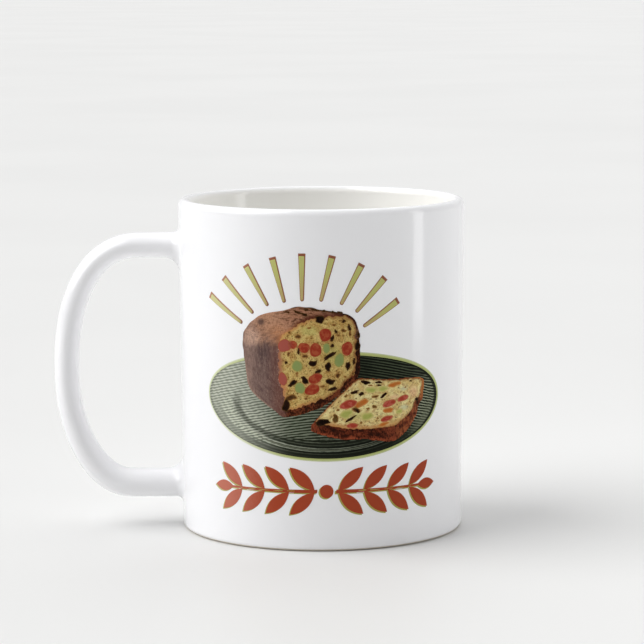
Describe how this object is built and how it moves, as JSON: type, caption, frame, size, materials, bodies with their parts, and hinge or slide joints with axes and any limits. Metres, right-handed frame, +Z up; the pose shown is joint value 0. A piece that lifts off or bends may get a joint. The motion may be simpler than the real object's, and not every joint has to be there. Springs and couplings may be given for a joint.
{
  "type": "printed ceramic mug",
  "caption": "Straight-sided glazed ceramic mug with a rounded lip, a D-shaped handle and a printed picture of a fruit cake on a plate.",
  "frame": {"origin": "on the cup's axis, in the plane it stands on", "axes": "+Z up along the cup's axis, -X towards the handle, -Y towards the printed picture"},
  "size_m": [0.1183, 0.082, 0.095],
  "materials": {
    "glaze": "gloss",
    "print": "gloss"
  },
  "bodies": {
    "root": {"mug": "glaze"}
  },
  "joints": []
}
